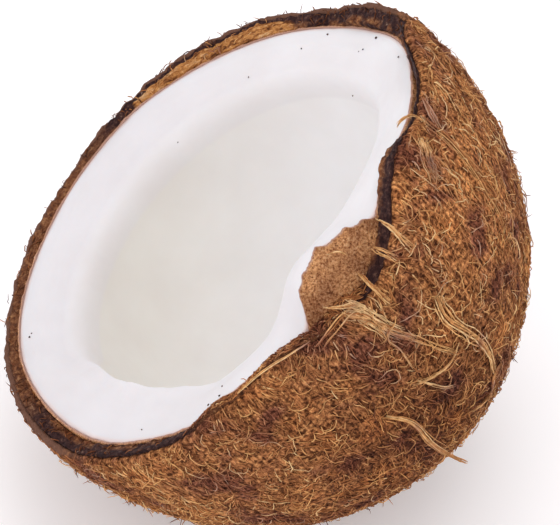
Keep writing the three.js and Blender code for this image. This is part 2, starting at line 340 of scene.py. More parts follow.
# Testa: the brown skin grown over the flesh, under a millimetre thick. It shows as a thin line round the
# rim and bare on the tongue where the shell has chipped away, rough and granular like cork.
TESTA_OUTSIDE_DEPTH = 4.9
TESTA_INSIDE_DEPTH = 5.45
TONGUE_STEPS = np.arange(284, 324, 0.22)
TESTA_STEPS = np.radians(np.concatenate([np.arange(0, 284, 1.0), TONGUE_STEPS, np.arange(324, 360, 1.0)]))


def ragged(azimuth, grain, size):
    """How far a broken edge strays up or down at an azimuth. The grain is the length of its teeth."""
    around = Vector((math.cos(azimuth), math.sin(azimuth), 0.0)) * NUT_RADIUS
    return size * noise.fractal(around / grain, 1.0, 2.0, 3)


def testa_section(azimuth):
    tongue = between(azimuth, 286, 322, 4)
    rim = rim_height(FLESH_RIM, azimuth, 0.8) + ragged(azimuth, 2.6, 0.25 + 0.5 * tongue)
    rim += ragged(azimuth, 0.7, 0.22) * tongue
    outside = meridian(TESTA_OUTSIDE_DEPTH, rim, 66)
    inside = meridian(TESTA_INSIDE_DEPTH, rim + 0.15, 10, 1.0)
    return outside + inside[::-1]


brown_skin = new_finish("brown_skin", 0.85, 0.12)
skin_grain = add_noise(brown_skin, 2000.0, 4.0, roughness=0.75)
skin_colour = add_ramp(brown_skin, skin_grain, "Fac", [
    (0.35, (0.15, 0.050, 0.022)), (0.44, (0.47, 0.205, 0.090)), (0.54, (0.77, 0.42, 0.19)),
    (0.66, (0.92, 0.64, 0.38)),
])
skin_clouds = add_noise(brown_skin, 190.0, 3.0)
skin_tint = add_ramp(brown_skin, skin_clouds, "Fac", [(0.36, (0.68, 0.56, 0.54)), (0.62, (1.12, 1.02, 0.95))])
skin_colour = add_mix(brown_skin, "MULTIPLY", 1.0, (skin_colour, "Color"), (skin_tint, "Color"))
skin_edge = add_node(brown_skin, "ShaderNodeAttribute", attribute_name="tone")
skin_colour = add_mix(brown_skin, "MIX", (skin_edge, "Fac"), (skin_colour, "Result"), (0.72, 0.42, 0.33))
skin_pits = add_noise(brown_skin, 2600.0, 3.0)
finish_surface(brown_skin, skin_colour, [(skin_grain, "Fac", 1.0, 0.0007), (skin_pits, "Fac", 0.6, 0.0003)])

testa_shape = rolled_up(testa_section, TESTA_STEPS)
for grain in testa_shape.verts:
    outward = Vector((grain.co.x, grain.co.y, 0.0)).normalized()
    grain.co += outward * 0.12 * noise.fractal(grain.co / 0.7, 1.0, 2.0, 2)
testa = finished("testa_skin", testa_shape, brown_skin)
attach(testa, "root")
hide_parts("testa")

# Shell: hard and nearly black, 3 mm thick. It broke with a rough chipped face round the whole rim, wide
# and slanting on the high side, with a notch at the front where a piece has come away from the flesh.
SHELL_OUTSIDE_DEPTH = 1.6
SHELL_THICKNESS = 3.2
SHELL_STEPS = np.radians(np.arange(0, 360, 0.4))
FIBRE_STRETCH = 0.16
SHELL_RIM = [
    (0, 15.8), (4, 16.6), (8, 16.4), (14, 14.0), (19, 9.0), (24, 7.4), (41, 6.3), (53, 4.2), (63, 5.0),
    (73, 6.8), (90, 8.1), (110, 8.2), (130, 7.2), (150, 7.0), (171, 6.5), (186, 6.0), (200, 5.6), (212, 4.4),
    (220, 3.4), (226, 4.2), (232, 4.8), (240, 5.5), (250, 6.5), (256, 6.9), (260, 8.2), (262, 9.0),
    (266, 10.2), (271, 9.7), (275, 10.6), (280, 11.6), (284, 11.6), (289, 10.4), (292, 9.3), (295, 9.2),
    (298, 9.4), (300.5, 9.4), (303, 8.0), (305.5, 7.6), (308.2, 8.3), (310.8, 9.1), (313.5, 10.0),
    (315.7, 11.0), (318.2, 11.9), (320.3, 13.4), (322.5, 14.6), (325, 15.8), (328.2, 16.8), (331.1, 17.3),
    (334.7, 17.0), (338, 16.1), (341.5, 15.3), (345, 14.9), (354, 14.7),
]
SHELL_SLANT = [
    (0, 4.8), (9, 5.6), (19, 1.5), (30, 1.2), (53, 0.6), (73, 1.8), (95, 2.2), (130, 1.2), (200, 0.8),
    (228, 1.1), (250, 1.8), (284, 1.5), (292, 0.4), (313, 0.3), (327, 0.4), (334, 1.2), (345, 3.0),
]


def shell_section(azimuth):
    far_side = between(azimuth, -1, 132, 12)
    rim = rim_height(SHELL_RIM, azimuth, 0.8) + ragged(azimuth, 2.2, 0.3) + ragged(azimuth, 6.0, 0.9) * far_side
    inner_rim = rim - rim_height(SHELL_SLANT, azimuth) + ragged(azimuth + 1.0, 1.6, 0.3)
    inner_rim = min(inner_rim, rim - 0.2)
    outside = meridian(SHELL_OUTSIDE_DEPTH, rim, 16)
    inside = meridian(SHELL_OUTSIDE_DEPTH + SHELL_THICKNESS, inner_rim, 16, 1.0)
    face = []
    for part in np.linspace(0.06, 0.94, 12):
        radius = outside[-1][0] + (inside[-1][0] - outside[-1][0]) * part
        height = rim + (inner_rim - rim) * part
        face.append((radius, height, part))
    return outside + face + inside[::-1]


dark_shell = new_finish("dark_shell", 0.65, 0.13)
shell_tone = add_node(dark_shell, "ShaderNodeAttribute", attribute_name="tone")
splinter_part = add_node(dark_shell, "ShaderNodeAttribute", attribute_name="splintered")
ruddy_part = add_node(dark_shell, "ShaderNodeAttribute", attribute_name="ruddy")
shell_ringwise = add_node(dark_shell, "ShaderNodeAttribute", attribute_name="ringwise")
shell_grain = add_noise(dark_shell, 1000.0, 5.0, roughness=0.7)
shell_clouds = add_noise(dark_shell, 150.0, 3.0)
shell_splinters = add_noise(dark_shell, 1.3, 4.0, shell_ringwise, "Vector", 0.6)
shell_dark = add_ramp(dark_shell, shell_grain, "Fac", [
    (0.34, (0.018, 0.007, 0.008)), (0.52, (0.050, 0.020, 0.019)), (0.64, (0.13, 0.062, 0.046)),
    (0.74, (0.48, 0.34, 0.25)),
])
shell_red = add_ramp(dark_shell, shell_grain, "Fac", [
    (0.32, (0.06, 0.020, 0.012)), (0.50, (0.24, 0.085, 0.034)), (0.70, (0.52, 0.26, 0.11)),
])
shell_gold = add_ramp(dark_shell, shell_splinters, "Fac", [
    (0.36, (0.12, 0.042, 0.016)), (0.44, (0.40, 0.16, 0.050)), (0.54, (0.66, 0.32, 0.105)),
    (0.68, (0.88, 0.58, 0.32)),
])
inner_part = add_range(dark_shell, shell_tone, "Fac", 0.45, 0.8)
cloud_part = add_range(dark_shell, shell_clouds, "Fac", 0.44, 0.56)
red_part = add_node(dark_shell, "ShaderNodeMath", operation="MULTIPLY")
dark_shell.node_tree.links.new(inner_part.outputs["Result"], red_part.inputs[0])
dark_shell.node_tree.links.new(cloud_part.outputs["Result"], red_part.inputs[1])
fibrous_part = add_node(dark_shell, "ShaderNodeMath", [("Value", ruddy_part, "Fac")], operation="MAXIMUM")
dark_shell.node_tree.links.new(red_part.outputs["Value"], fibrous_part.inputs[1])
broken_gold = add_node(
    dark_shell, "ShaderNodeMath", [("Value", splinter_part, "Fac")], operation="MULTIPLY_ADD")
broken_gold.inputs[1].default_value = 2.2
dark_shell.node_tree.links.new(shell_clouds.outputs["Fac"], broken_gold.inputs[2])
gold_part = add_range(dark_shell, broken_gold, "Value", 1.15, 1.4)
shell_colour = add_mix(dark_shell, "MIX", (fibrous_part, "Value"), (shell_dark, "Color"), (shell_red, "Color"))
gold_tint = add_ramp(dark_shell, shell_grain, "Fac", [(0.38, (0.62, 0.50, 0.42)), (0.58, (1.05, 1.0, 0.95))])
gold_colour = add_mix(dark_shell, "MULTIPLY", 0.8, (shell_gold, "Color"), (gold_tint, "Color"))
shell_colour = add_mix(
    dark_shell, "MIX", (gold_part, "Result"), (shell_colour, "Result"), (gold_colour, "Result"))
finish_surface(dark_shell, shell_colour, [
    (shell_splinters, "Fac", 0.7, 0.0006), (shell_grain, "Fac", 0.9, 0.0008),
])

shell_shape = rolled_up(shell_section, SHELL_STEPS)
splinters_of = shell_shape.verts.layers.float.new("splintered")
ruddy_of = shell_shape.verts.layers.float.new("ruddy")
ringwise_of = shell_shape.verts.layers.float_vector.new("ringwise")
shell_tone_of = shell_shape.verts.layers.float["tone"]
for chip in shell_shape.verts:
    turn = math.atan2(chip.co.y, chip.co.x)
    radius = math.hypot(chip.co.x, chip.co.y)
    gold_start = 0.12 + 0.55 * between(turn, 116, 212, 10)
    gold = between(turn, 62, 112, 8) + 0.5 * between(turn, 122, 206, 10)
    chip[splinters_of] = gold * float(np.clip((chip[shell_tone_of] - gold_start) / 0.2, 0, 1))
    chip[ruddy_of] = 0.85 * between(turn, 258, 303, 5) + 0.8 * between(turn, 116, 206, 10)
    chip[ringwise_of] = (turn % math.tau * NUT_RADIUS * FIBRE_STRETCH, radius, chip.co.z * 1.2)
    if chip.co.z > -4.0:
        chip.co.z += 0.45 * noise.fractal(chip.co / 1.3, 1.0, 2.0, 3)
shell = finished("hard_shell", shell_shape, dark_shell)
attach(shell, "root")
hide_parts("shell")

# Coir mat: the felt of husk fibres left on the shell, about a millimetre and a half thick. The fibres are
# combed along the nut and run together at its closed end. Under the nut the mat is pressed flat.
MAT_INSIDE_DEPTH = 1.5
MAT_RELIEF = 0.5
MAT_EDGE_ROUNDING = 0.5
MAT_STEPS = np.radians(np.arange(0, 360, 0.9))
FLAT_SPOT_RADIUS = 0.0136
FLAT_SPOT_EDGE = 0.002
ON_THE_OUTSIDE = 0.985
RIM_PLACES, RIM_HEIGHTS = np.array([*SHELL_RIM, (360, SHELL_RIM[0][1])]).T


def broken_rim(azimuth):
    """Height of the shell's broken edge. Works on arrays too."""
    return np.interp(np.degrees(azimuth) % 360, RIM_PLACES, RIM_HEIGHTS)


def mat_section(azimuth):
    far_side = between(azimuth, 14, 206, 10)
    rim = rim_height(SHELL_RIM, azimuth, 1.0) - 0.5 + ragged(azimuth, 1.5, 0.5)
    rim += far_side * (0.2 + ragged(azimuth, 5.0, 0.9))
    outside = meridian(0.0, rim - MAT_EDGE_ROUNDING, 150)
    inside = meridian(MAT_INSIDE_DEPTH, rim, 12)
    corner_radius = outside[-1][0] - MAT_EDGE_ROUNDING
    top_radius = corner_radius - MAT_EDGE_ROUNDING
    return outside + [(corner_radius, rim, 0.0), (top_radius, rim + 0.1, 0.0)] + inside[::-1]


def combed_place(place):
    """Where a point of the mat lies across and along the combing, drawn out along the nut."""
    azimuth = math.atan2(place.y, place.x)
    return Vector((NUT_RADIUS * math.cos(azimuth), NUT_RADIUS * math.sin(azimuth), place.z * FIBRE_STRETCH))


def felt_relief(place):
    rim = float(broken_rim(math.atan2(place.y, place.x)))
    calm = min(1.0, max(0.3, (rim - place.z) / 5.0))
    combed = noise.fractal(combed_place(place) / 1.4 + place / 5.0, 0.8, 2.1, 3)
    clumps = noise.noise(place / 6.0)
    return MAT_RELIEF * calm * (0.55 * combed + 0.6 * clumps + 0.15)


def mat_patch(azimuth, height, middle, middle_height, size):
    """How far inside a soft-edged patch of the mat a place is, 0 to 1. Works on arrays too."""
    ring = NUT_RADIUS * np.sqrt(np.clip(1 - (height / NUT_HALF_LENGTH) ** 2, 0, 1))
    across = ring * np.sin(azimuth - math.radians(middle))
    facing = np.cos(azimuth - math.radians(middle)) > 0
    return np.exp(-(across / size) ** 2 - ((height - middle_height) / size) ** 2) * facing


def painted_light_and_shade(azimuth, height):
    """Up to 1 in the painted shade on the low front, below 0 in the painted light beside the notch."""
    return mat_patch(azimuth, height, 296, -30, 25) - 0.5 * mat_patch(azimuth, height, 335, -4, 24)


def dark_edge(azimuth, height):
    """How far the mat is darkened, 0 to 1: near the broken edge on the far and left sides."""
    degrees = np.degrees(azimuth) % 360
    side = np.clip(np.minimum(degrees - 20, 228 - degrees) / 12, 0, 1)
    return side * np.clip((height - broken_rim(azimuth) + 7.0) / 5.0, 0, 1)


def pressed_flat(height, spread):
    """Brings what is under the nut down to the table over the flat spot. Works on arrays in metres."""
    inside = np.clip((FLAT_SPOT_RADIUS + FLAT_SPOT_EDGE - spread) / FLAT_SPOT_EDGE, 0, 1)
    return np.maximum(height * (1 - inside), 0)


coir_felt = new_finish("coir_felt", 0.95, 0.08)
felt_comb = add_node(coir_felt, "ShaderNodeAttribute", attribute_name="combed")
felt_streaks = add_noise(coir_felt, 1.6, 5.0, felt_comb, "Vector", 0.65)
felt_fuzz = add_noise(coir_felt, 1300.0, 3.0, roughness=0.6)
felt_clouds = add_noise(coir_felt, 95.0, 4.0)
felt_colour = add_ramp(coir_felt, felt_streaks, "Fac", [
    (0.36, (0.13, 0.047, 0.019)), (0.50, (0.31, 0.123, 0.047)), (0.64, (0.52, 0.24, 0.093)),
])
felt_dots = add_ramp(coir_felt, felt_fuzz, "Fac", [
    (0.38, (0.26, 0.21, 0.20)), (0.50, (0.95, 0.92, 0.9)), (0.62, (1.7, 1.75, 1.75)),
])
felt_colour = add_mix(coir_felt, "MULTIPLY", 1.0, (felt_colour, "Color"), (felt_dots, "Color"))
felt_tint = add_ramp(coir_felt, felt_clouds, "Fac", [
    (0.37, (0.50, 0.42, 0.62)), (0.47, (0.97, 0.94, 0.98)), (0.56, (1.02, 1.02, 1.0)),
    (0.66, (1.22, 1.13, 1.04)),
])
felt_colour = add_mix(coir_felt, "MULTIPLY", 1.0, (felt_colour, "Result"), (felt_tint, "Color"))
felt_edge = add_node(coir_felt, "ShaderNodeAttribute", attribute_name="scorched")
felt_colour = add_mix(coir_felt, "MIX", (felt_edge, "Fac"), (felt_colour, "Result"), (0.17, 0.082, 0.056))
# Painted shade darkens the low front of the mat, and painted light brightens a patch beside the notch.
felt_painted_shading = add_node(coir_felt, "ShaderNodeAttribute", attribute_name="painted_shading")
felt_shading_amount = add_range(coir_felt, felt_painted_shading, "Fac", -0.5, 1.0)
felt_shading_tint = add_ramp(coir_felt, felt_shading_amount, "Result", [
    (0.0, (1.45, 1.42, 1.32)), (0.333, (1.06, 1.06, 1.05)), (1.0, (0.50, 0.43, 0.45)),
])
felt_colour = add_mix(coir_felt, "MULTIPLY", 1.0, (felt_colour, "Result"), (felt_shading_tint, "Color"))
finish_surface(coir_felt, felt_colour, [(felt_streaks, "Fac", 0.9, 0.0008), (felt_fuzz, "Fac", 0.9, 0.0006)])

mat_shape = rolled_up(mat_section, MAT_STEPS)
combed_of = mat_shape.verts.layers.float_vector.new("combed")
scorched_of = mat_shape.verts.layers.float.new("scorched")
# Each point also keeps the mat's painted shade and light.
painted_shading_of = mat_shape.verts.layers.float.new("painted_shading")
for spot in mat_shape.verts:
    turn = math.atan2(spot.co.y, spot.co.x)
    spot[combed_of] = combed_place(spot.co)
    spot[scorched_of] = float(dark_edge(turn, spot.co.z))
    spot[painted_shading_of] = float(painted_light_and_shade(turn, spot.co.z))
    outward = Vector((
        spot.co.x / NUT_RADIUS ** 2, spot.co.y / NUT_RADIUS ** 2, spot.co.z / NUT_HALF_LENGTH ** 2,
    ))
    if outward.dot(spot.co) > ON_THE_OUTSIDE:
        spot.co += outward.normalized() * felt_relief(spot.co)
mat = finished("coir_mat", mat_shape, coir_felt)
mat_points = np.empty(len(mat.data.vertices) * 3)
mat.data.vertices.foreach_get("co", mat_points)
mat_points = mat_points.reshape(-1, 3)
mat_points[:, 2] = pressed_flat(mat_points[:, 2], np.hypot(mat_points[:, 0], mat_points[:, 1]))
mat.data.vertices.foreach_set("co", mat_points.ravel())
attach(mat, "root")
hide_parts("coir")

# Matted fibres: the short stiff ends of husk fibre that make up the face of the mat, each about a quarter
# of a millimetre thick. They lie mostly along the nut, in tangles here and there, rooted in the felt.
draw = np.random.default_rng(11)
SHADE_LEVELS = 7
ROOT_DEPTH = 0.2
NARROWEST_RING = 4.0
TABLE_CLEARANCE = 0.00012


def strewn_roots(count, low=-0.99, gap=1.0):
    """Roots strewn over the mat to a gap below the rim, as azimuth and angle up from the closed end."""
    azimuth = draw.uniform(0, math.tau, count)
    height = draw.uniform(low * NUT_HALF_LENGTH, broken_rim(azimuth) - gap)
    return azimuth, np.arccos(-height / NUT_HALF_LENGTH)


def wander(azimuth, polar, heading, length, points, curl, kink):
    """Walks over the nut from each root. Heading 0 runs toward the closed end."""
    step = length / (points - 1)
    azimuths, polars = [], []
    for _ in range(points):
        azimuths.append(azimuth)
        polars.append(polar)
        ring = np.maximum(NUT_RADIUS * np.sin(polar), NARROWEST_RING)
        run = np.hypot(NUT_RADIUS * np.cos(polar), NUT_HALF_LENGTH * np.sin(polar))
        polar = np.abs(polar - np.cos(heading) * step / run)
        azimuth = azimuth + np.sin(heading) * step / ring
        heading = heading + curl * step + kink * draw.normal(size=len(heading))
    return np.stack(azimuths, 1), np.stack(polars, 1)


def in_shared_frame(places):
    """Points of the nut's own frame, in millimetres, brought to the shared frame, in metres."""
    pose = np.array(NUT_POSE)
    return places @ pose[:3, :3].T + pose[:3, 3]


def over_mat(azimuths, polars, lifts):
    """Points at a lift above the felt, in the shared frame, none under the table."""
    ring = np.sin(polars)
    down = -np.cos(polars)
    base = np.stack([NUT_RADIUS * ring * np.cos(azimuths), NUT_RADIUS * ring * np.sin(azimuths),
                     NUT_HALF_LENGTH * down], -1)
    normal = np.stack([ring * np.cos(azimuths) / NUT_RADIUS, ring * np.sin(azimuths) / NUT_RADIUS,
                       down / NUT_HALF_LENGTH], -1)
    normal /= np.linalg.norm(normal, axis=-1, keepdims=True)
    relief = np.array([felt_relief(Vector(place)) for place in base.reshape(-1, 3)]).reshape(lifts.shape)
    place = in_shared_frame(base + normal * (lifts + relief)[..., None])
    place[..., 2] = pressed_flat(place[..., 2], np.hypot(place[..., 0], place[..., 1]))
    place[..., 2] = np.maximum(place[..., 2], TABLE_CLEARANCE)
    return place


def below_rim(azimuths, polars, slack=0.4):
    """Which fibres stay below the broken edge over their whole length."""
    return (-NUT_HALF_LENGTH * np.cos(polars) < broken_rim(azimuths) + slack).all(1)


three_sided = bpy.data.curves.new("fibre_section", "CURVE")
three_sided.dimensions = "2D"
corners = three_sided.splines.new("POLY")
corners.points.add(2)
corners.use_cyclic_u = True
for number, corner in enumerate(corners.points):
    corner.co = (math.cos(number * math.tau / 3), math.sin(number * math.tau / 3), 0.0, 1.0)
fibre_section = bpy.data.objects.new("fibre_section", three_sided)


def spun_fibres(name, routes, thickness, shades, material):
    """Curves with a three-sided section, made one mesh whose shade attribute is each fibre's own."""
    bundle = bmesh.new()
    shade_of = bundle.verts.layers.float.new("shade")
    points = routes.shape[1]
    taper = np.interp(np.linspace(0, 1, points), [0, 0.12, 0.8, 1], [0.6, 1.0, 0.85, 0.25])
    levels = np.clip((shades * SHADE_LEVELS).astype(int), 0, SHADE_LEVELS - 1)
    for level in range(SHADE_LEVELS):
        strands = bpy.data.curves.new(name, "CURVE")
        strands.dimensions = "3D"
        strands.bevel_mode = "OBJECT"
        strands.bevel_object = fibre_section
        strands.use_fill_caps = True
        for number in np.flatnonzero(levels == level):
            strand = strands.splines.new("POLY")
            strand.points.add(points - 1)
            places = np.ones((points, 4))
            places[:, :3] = routes[number]
            strand.points.foreach_set("co", places.ravel())
            strand.points.foreach_set("radius", thickness[number] * taper * MM / 2)
        carrier = bpy.data.objects.new(name, strands)
        bpy.context.scene.collection.objects.link(carrier)
        solid = bpy.data.meshes.new_from_object(carrier.evaluated_get(bpy.context.evaluated_depsgraph_get()))
        already = len(bundle.verts)
        bundle.from_mesh(solid)
        bundle.verts.ensure_lookup_table()
        for point in bundle.verts[already:]:
            point[shade_of] = (level + 0.5) / SHADE_LEVELS
        bpy.data.objects.remove(carrier)
        bpy.data.curves.remove(strands)
        bpy.data.meshes.remove(solid)
    bmesh.ops.remove_doubles(bundle, verts=bundle.verts[:], dist=1e-7)
    return new_piece(name, bundle, material)


coir_fibre = new_finish("coir_fibre", 0.75, 0.12)
fibre_shade = add_node(coir_fibre, "ShaderNodeAttribute", attribute_name="shade")
fibre_clouds = add_noise(coir_fibre, 95.0, 4.0)
fibre_specks = add_noise(coir_fibre, 700.0, 3.0)
fibre_colour = add_ramp(coir_fibre, fibre_shade, "Fac", [
    (0.0, (0.075, 0.025, 0.012)), (0.3, (0.26, 0.092, 0.034)), (0.55, (0.52, 0.22, 0.078)),
    (0.8, (0.76, 0.43, 0.175)), (1.0, (0.88, 0.64, 0.34)),
])
fibre_tint = add_ramp(coir_fibre, fibre_clouds, "Fac", [
    (0.37, (0.60, 0.50, 0.70)), (0.47, (0.98, 0.95, 0.99)), (0.56, (1.02, 1.02, 1.0)),
    (0.66, (1.18, 1.10, 1.02)),
])
fibre_colour = add_mix(coir_fibre, "MULTIPLY", 1.0, (fibre_colour, "Color"), (fibre_tint, "Color"))
speck_tint = add_ramp(coir_fibre, fibre_specks, "Fac", [(0.35, (0.7, 0.65, 0.62)), (0.6, (1.1, 1.1, 1.1))])
fibre_colour = add_mix(coir_fibre, "MULTIPLY", 1.0, (fibre_colour, "Result"), (speck_tint, "Color"))
finish_surface(coir_fibre, fibre_colour, [])


def laid_fibres(name, routes, thickness, shades, pieces):
    """Spins the fibres into a number of pieces that belong to the coir."""
    for number in range(pieces):
        share = slice(number, None, pieces)
        title = f"{name}_{number + 1}" if pieces > 1 else name
        bundle = spun_fibres(title, routes[share], thickness[share], shades[share], coir_fibre)
        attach(bundle, "root")
        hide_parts("coir")


def region_noise(azimuth, polar, size, seed):
    """A smooth random value over the nut, so that neighbouring fibres lie alike."""
    x = NUT_RADIUS * np.sin(polar) * np.cos(azimuth)
    y = NUT_RADIUS * np.sin(polar) * np.sin(azimuth)
    z = -NUT_HALF_LENGTH * np.cos(polar)
    return np.array([noise.noise(Vector(place) / size + Vector((seed, seed, seed))) for place in zip(x, y, z)])


def edge_and_painted_shade(azimuths, polars, shades):
    """Fibres near the dark far edge of the mat are dark too, and take the mat's painted shade and light."""
    dark = dark_edge(azimuths[:, 0], -NUT_HALF_LENGTH * np.cos(polars[:, 0]))
    painted_shading = painted_light_and_shade(azimuths[:, 0], -NUT_HALF_LENGTH * np.cos(polars[:, 0]))
    return np.clip(shades * (1 - 0.3 * dark) - 0.19 * painted_shading, 0, 0.99)


MATTED_COUNT = 20000
MATTED_POINTS = 5
RIM_SHARE = 2200
matted_azimuth, matted_polar = strewn_roots(MATTED_COUNT, gap=0.0)
near_rim = broken_rim(matted_azimuth[:RIM_SHARE]) + draw.uniform(-3.0, -0.2, RIM_SHARE)
matted_polar[:RIM_SHARE] = np.arccos(-near_rim / NUT_HALF_LENGTH)
chaos = np.clip(0.5 + 1.4 * region_noise(matted_azimuth, matted_polar, 14.0, 3.0), 0.2, 1.0)
matted_heading = 1.6 * region_noise(matted_azimuth, matted_polar, 7.0, 9.0)
matted_heading = matted_heading + draw.normal(0, 1.1, MATTED_COUNT) * chaos
matted_heading = matted_heading + math.pi * (draw.uniform(size=MATTED_COUNT) < 0.35)
matted_length = draw.gamma(4.0, 0.46, MATTED_COUNT) + 0.8
matted_curl = draw.normal(0, 0.10, MATTED_COUNT)
azimuths, polars = wander(
    matted_azimuth, matted_polar, matted_heading, matted_length, MATTED_POINTS, matted_curl, 0.34 * chaos)
along = np.linspace(0, 1, MATTED_POINTS)
flat_edge = dark_edge(matted_azimuth, -NUT_HALF_LENGTH * np.cos(matted_polar))[:, None]
arch = draw.gamma(1.6, 0.075, (MATTED_COUNT, 1)) * np.sin(math.pi * along)
tip = draw.gamma(1.2, 0.10, (MATTED_COUNT, 1)) * (1 - 0.8 * flat_edge) * along ** 2
lifts = np.interp(along, [0, 0.2, 1], [-ROOT_DEPTH, 0.05, -0.05]) + arch + tip
lifts = lifts + draw.normal(0, 0.05, arch.shape)
bare_part = np.clip(0.25 + 2.4 * region_noise(matted_azimuth, matted_polar, 7.0, 17.0), 0.0, 0.75)
thinned = np.maximum(0.8 * flat_edge[:, 0], bare_part)
kept = below_rim(azimuths, polars, 0.7) & (draw.uniform(size=MATTED_COUNT) > thinned)
azimuths, polars = azimuths[kept], polars[kept]
routes = over_mat(azimuths, polars, lifts[kept])
thickness = draw.uniform(0.15, 0.36, len(routes))
bunch = region_noise(azimuths[:, 0], polars[:, 0], 2.2, 5.0)
shades = edge_and_painted_shade(azimuths, polars, draw.normal(0.50, 0.20, len(routes)) + 0.25 * bunch)
laid_fibres("matted_fibres", routes, thickness, shades, 3)

# Long fibres: fewer and longer husk fibres, 4 to 10 mm, combed out along the nut when the husk was torn
# off. They lie over the short ones, with both ends in the felt.
COMBED_COUNT = 1300
COMBED_POINTS = 9
combed_azimuth, combed_polar = strewn_roots(COMBED_COUNT, gap=0.2)
combed_heading = 1.2 * region_noise(combed_azimuth, combed_polar, 9.0, 9.0) + draw.normal(0, 0.3, COMBED_COUNT)
combed_length = draw.uniform(4, 10, COMBED_COUNT)
combed_curl = draw.normal(0, 0.04, COMBED_COUNT)
azimuths, polars = wander(
    combed_azimuth, combed_polar, combed_heading, combed_length, COMBED_POINTS, combed_curl, 0.14)
along = np.linspace(0, 1, COMBED_POINTS)
lifts = np.interp(along, [0, 0.15, 0.85, 1], [-ROOT_DEPTH, 0.12, 0.15, -0.1])
lifts = lifts + draw.normal(0, 0.06, azimuths.shape)
kept = below_rim(azimuths, polars)
azimuths, polars = azimuths[kept], polars[kept]
routes = over_mat(azimuths, polars, lifts[kept])
thickness = draw.uniform(0.15, 0.28, len(routes))
shades = edge_and_painted_shade(azimuths, polars, draw.normal(0.58, 0.17, len(routes)))
laid_fibres("combed_fibres", routes, thickness, shades, 1)

# Curled fibres: fine loose husk hairs, paler than the mat, that curl over it in every direction. They are
# rooted in the felt and arch up to a millimetre over it, thickest round the notch.
CURLED_COUNT = 2600
CURLED_POINTS = 9
curled_azimuth, curled_polar = strewn_roots(CURLED_COUNT)
crowd = np.exp(-((np.degrees(curled_azimuth) - 303) / 24) ** 2) * (curled_polar < 1.6)
wanted = draw.uniform(size=CURLED_COUNT) < 0.42 + 0.58 * crowd
curled_azimuth, curled_polar = curled_azimuth[wanted], curled_polar[wanted]
curled_count = len(curled_azimuth)
curled_heading = draw.uniform(0, math.tau, curled_count)
curled_length = draw.gamma(3.0, 1.0, curled_count) + 1.4
curled_curl = draw.normal(0, 0.24, curled_count)
azimuths, polars = wander(
    curled_azimuth, curled_polar, curled_heading, curled_length, CURLED_POINTS, curled_curl, 0.36)
along = np.linspace(0, 1, CURLED_POINTS)
arch = draw.uniform(0.1, 0.9, (curled_count, 1)) * np.sin(math.pi * along) ** 0.7
lifts = -ROOT_DEPTH + 0.35 * (along > 0) + arch + draw.normal(0, 0.06, arch.shape)
kept = below_rim(azimuths, polars)
azimuths, polars = azimuths[kept], polars[kept]
routes = over_mat(azimuths, polars, lifts[kept])
thickness = draw.uniform(0.13, 0.28, len(routes))
shades = edge_and_painted_shade(azimuths, polars, draw.normal(0.80, 0.10, len(routes)))
laid_fibres("curled_fibres", routes, thickness, shades, 1)

# Loose ends: little tufts of five husk fibres each, broken off short, that stand up to two millimetres off
# the mat. Their roots are sunk in the felt.
TUFT_COUNT = 200
TUFT_HAIRS = 5
TUFT_POINTS = 7
tuft_azimuth, tuft_polar = strewn_roots(TUFT_COUNT, low=-0.9, gap=0.5)
hair_azimuth = np.repeat(tuft_azimuth, TUFT_HAIRS) + draw.normal(0, 0.012, TUFT_COUNT * TUFT_HAIRS)
hair_polar = np.repeat(tuft_polar, TUFT_HAIRS) + draw.normal(0, 0.010, TUFT_COUNT * TUFT_HAIRS)
hair_heading = np.repeat(draw.normal(0, 1.2, TUFT_COUNT), TUFT_HAIRS) + draw.normal(0, 0.6, len(hair_azimuth))
hair_length = draw.uniform(0.8, 3.2, len(hair_azimuth))
azimuths, polars = wander(
    hair_azimuth, hair_polar, hair_heading, hair_length, TUFT_POINTS,
    draw.normal(0, 0.4, len(hair_azimuth)), 0.25)
along = np.linspace(0, 1, TUFT_POINTS)
stand = draw.gamma(2.2, 0.45, (len(hair_azimuth), 1)).clip(0.2, 2.1)
lifts = -ROOT_DEPTH + 0.2 * along + stand * along ** 1.3
routes = over_mat(azimuths, polars, lifts)
thickness = draw.uniform(0.14, 0.26, len(routes))
shades = edge_and_painted_shade(azimuths, polars, draw.normal(0.45, 0.25, len(routes)))
laid_fibres("loose_ends", routes, thickness, shades, 1)

